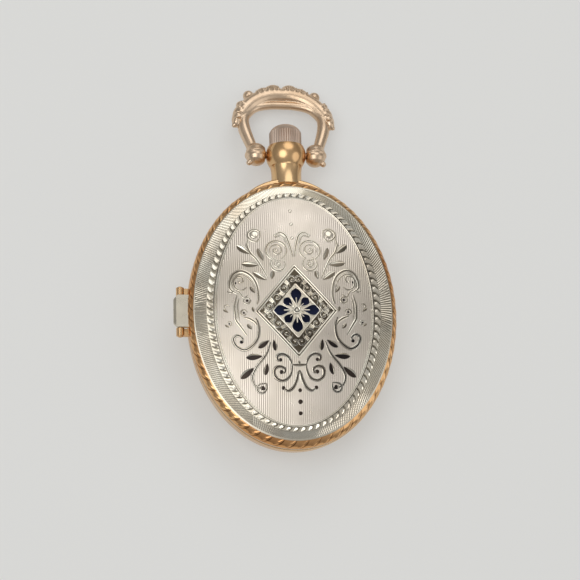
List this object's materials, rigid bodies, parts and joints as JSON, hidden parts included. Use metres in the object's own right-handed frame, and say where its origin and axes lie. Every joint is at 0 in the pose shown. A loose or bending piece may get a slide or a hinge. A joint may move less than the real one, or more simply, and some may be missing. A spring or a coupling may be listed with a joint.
{
  "type": "pendant watch",
  "caption": "Oval hunter pendant watch with an engraved hinged cover, ball pendant, winding crown, swinging leaf bow and a hand-wound lever movement.",
  "frame": {"origin": "middle of the flat rest face of the back, under the axis of the hands", "axes": "+Z out of the face, +Y to 12 o'clock and the bow, +X to 3 o'clock"},
  "size_m": [0.0319, 0.0574, 0.01],
  "materials": {
    "gold_engraved": "engraved and satin, warm champagne gold plate",
    "gold_polished": "polished gold plate",
    "gold_cast": "cast and tumbled gold plate",
    "gold_crown": "matt fluted gold plate",
    "crystal_clear": "clear",
    "dial_white": "satin white",
    "hands_dark": "blued steel",
    "movement_nickel": "striped nickel plate",
    "wheel_brass": "gilt brass",
    "steel_bright": "bright steel",
    "steel_blued": "blued steel",
    "jewel_red": "red jewel",
    "ring_brass": "turned brass"
  },
  "bodies": {
    "case": {"case_band": "gold_polished", "hinge_pin": "gold_polished", "case_back": "gold_polished", "bezel": "gold_polished", "crystal": "crystal_clear", "pendant": "gold_polished", "dial": "dial_white", "movement_ring": "ring_brass", "main_plate": "movement_nickel", "barrel_bridge": "movement_nickel", "train_bridge": "movement_nickel", "balance_cock": "movement_nickel", "pallet_cock": "movement_nickel", "bridge_screws": "steel_blued", "jewels": "jewel_red", "hairspring_stud": "steel_bright", "regulator": "steel_bright", "crown_wheel_screw": "steel_blued", "click_spring": "steel_bright", "dial_screws": "steel_blued", "case_clamps": "steel_bright", "case_screws": "steel_blued"},
    "cover": {"front_cover": "gold_engraved"},
    "bow": {"bow": "gold_cast"},
    "winding": {"winding_pinion": "steel_bright"},
    "crown": {"crown": "gold_crown", "stem": "steel_bright"},
    "clutch": {"clutch_wheel": "steel_bright"},
    "crown_wheel": {"crown_wheel": "steel_bright"},
    "ratchet": {"ratchet_wheel": "steel_bright", "ratchet_screw": "steel_blued", "barrel_arbor": "steel_bright"},
    "click": {"click": "steel_bright"},
    "barrel": {"mainspring_barrel": "wheel_brass", "barrel_cover": "wheel_brass", "mainspring": "steel_bright"},
    "centre": {"centre_wheel": "wheel_brass"},
    "third": {"third_wheel": "wheel_brass"},
    "fourth": {"fourth_wheel": "wheel_brass"},
    "escape": {"escape_wheel": "steel_bright"},
    "pallet": {"pallet_fork": "steel_bright"},
    "balance": {"balance_wheel": "wheel_brass", "hairspring": "steel_blued"},
    "minute": {"cannon_pinion": "steel_bright", "minute_hand": "hands_dark"},
    "minute_work": {"minute_wheel": "wheel_brass"},
    "hour": {"hour_wheel": "wheel_brass", "hour_hand": "hands_dark"},
    "setting": {"setting_wheel": "steel_bright"},
    "lever": {"setting_lever": "steel_bright"},
    "yoke": {"yoke": "steel_bright"}
  },
  "joints": [
    {"name": "cover_hinge", "type": "hinge", "parent": "case", "child": "cover", "pos_m": [-0.01595, 0, 0.0062], "axis": [0, -1, 0], "range_deg": [0, 165]},
    {"name": "bow_swing", "type": "hinge", "parent": "case", "child": "bow", "pos_m": [0, 0.0249, 0.0042], "axis": [1, 0, 0], "range_deg": [-105.1, 134.9]},
    {"name": "crown_turn", "type": "hinge", "parent": "case", "child": "winding", "pos_m": [0, 0.007, 0.0042], "axis": [0, 1, 0], "continuous": true},
    {"name": "crown_pull", "type": "slide", "parent": "winding", "child": "crown", "axis": [0, 1, 0], "range_m": [0, 0.0008]},
    {"name": "clutch_slide", "type": "slide", "parent": "winding", "child": "clutch", "axis": [0, -1, 0], "range_m": [0, 0.0003]},
    {"name": "setting_lever_turn", "type": "hinge", "parent": "case", "child": "lever", "pos_m": [-0.0019, 0.0083, 0.0053], "axis": [0, 0, 1], "range_deg": [0, 25]},
    {"name": "yoke_turn", "type": "hinge", "parent": "case", "child": "yoke", "pos_m": [0.0023, 0.0073, 0.0053], "axis": [0, 0, 1], "range_deg": [0, 12]},
    {"name": "crown_wheel_turn", "type": "hinge", "parent": "case", "child": "crown_wheel", "pos_m": [0, 0.0048, 0.0026], "axis": [0, 0, 1], "continuous": true},
    {"name": "ratchet_turn", "type": "hinge", "parent": "case", "child": "ratchet", "pos_m": [0.0046, 0.0022, 0.0026], "axis": [0, 0, 1], "continuous": true},
    {"name": "click_rock", "type": "hinge", "parent": "case", "child": "click", "pos_m": [0.007, 0.0049, 0.0026], "axis": [0, 0, 1], "range_deg": [0, 8], "stiffness_Nm_per_rad": 0.00002},
    {"name": "fourth_wheel_turn", "type": "hinge", "parent": "case", "child": "fourth", "pos_m": [-0.00495, -0.00425, 0.0035], "axis": [0, 0, 1], "continuous": true},
    {"name": "third_wheel_turn", "type": "hinge", "parent": "case", "child": "third", "pos_m": [-0.003, -0.00185, 0.004], "axis": [0, 0, 1], "continuous": true},
    {"name": "centre_wheel_turn", "type": "hinge", "parent": "case", "child": "centre", "pos_m": [0, 0, 0.0033], "axis": [0, 0, 1], "continuous": true},
    {"name": "barrel_turn", "type": "hinge", "parent": "case", "child": "barrel", "pos_m": [0.0046, 0.0022, 0.004], "axis": [0, 0, 1], "continuous": true},
    {"name": "escape_wheel_turn", "type": "hinge", "parent": "case", "child": "escape", "pos_m": [-0.0026, -0.0057, 0.0043], "axis": [0, 0, 1], "continuous": true},
    {"name": "pallet_rock", "type": "hinge", "parent": "case", "child": "pallet", "pos_m": [-0.00062, -0.0056, 0.0043], "axis": [0, 0, 1], "range_deg": [-5, 5]},
    {"name": "balance_swing", "type": "hinge", "parent": "case", "child": "balance", "pos_m": [0.0026, -0.0054, 0.0036], "axis": [0, 0, 1], "range_deg": [-270, 270], "stiffness_Nm_per_rad": 0.0000001},
    {"name": "minute_hand_turn", "type": "hinge", "parent": "case", "child": "minute", "pos_m": [0, 0, 0.006], "axis": [0, 0, -1], "continuous": true},
    {"name": "minute_wheel_turn", "type": "hinge", "parent": "case", "child": "minute_work", "pos_m": [0.0009, 0.00225, 0.0051], "axis": [0, 0, -1], "continuous": true},
    {"name": "hour_hand_turn", "type": "hinge", "parent": "case", "child": "hour", "pos_m": [0, 0, 0.0058], "axis": [0, 0, -1], "continuous": true},
    {"name": "setting_wheel_turn", "type": "hinge", "parent": "case", "child": "setting", "pos_m": [0, 0.0043, 0.0051], "axis": [0, 0, -1], "continuous": true}
  ],
  "couplings": [
    {"joint": "clutch_slide", "follows": "crown_pull", "ratio": 0.375},
    {"joint": "setting_lever_turn", "follows": "crown_pull", "rad_per_m": 500},
    {"joint": "yoke_turn", "follows": "crown_pull", "rad_per_m": 200},
    {"joint": "crown_wheel_turn", "follows": "crown_turn", "ratio": 0.46667},
    {"joint": "ratchet_turn", "follows": "crown_turn", "ratio": -0.38889},
    {"joint": "fourth_wheel_turn", "follows": "escape_wheel_turn", "ratio": -0.1},
    {"joint": "third_wheel_turn", "follows": "escape_wheel_turn", "ratio": 0.013333},
    {"joint": "centre_wheel_turn", "follows": "escape_wheel_turn", "ratio": -0.001667},
    {"joint": "barrel_turn", "follows": "escape_wheel_turn", "ratio": 0.000278},
    {"joint": "minute_wheel_turn", "follows": "minute_hand_turn", "ratio": -0.33333},
    {"joint": "hour_hand_turn", "follows": "minute_hand_turn", "ratio": 0.083333},
    {"joint": "setting_wheel_turn", "follows": "minute_hand_turn", "ratio": 0.83333}
  ]
}
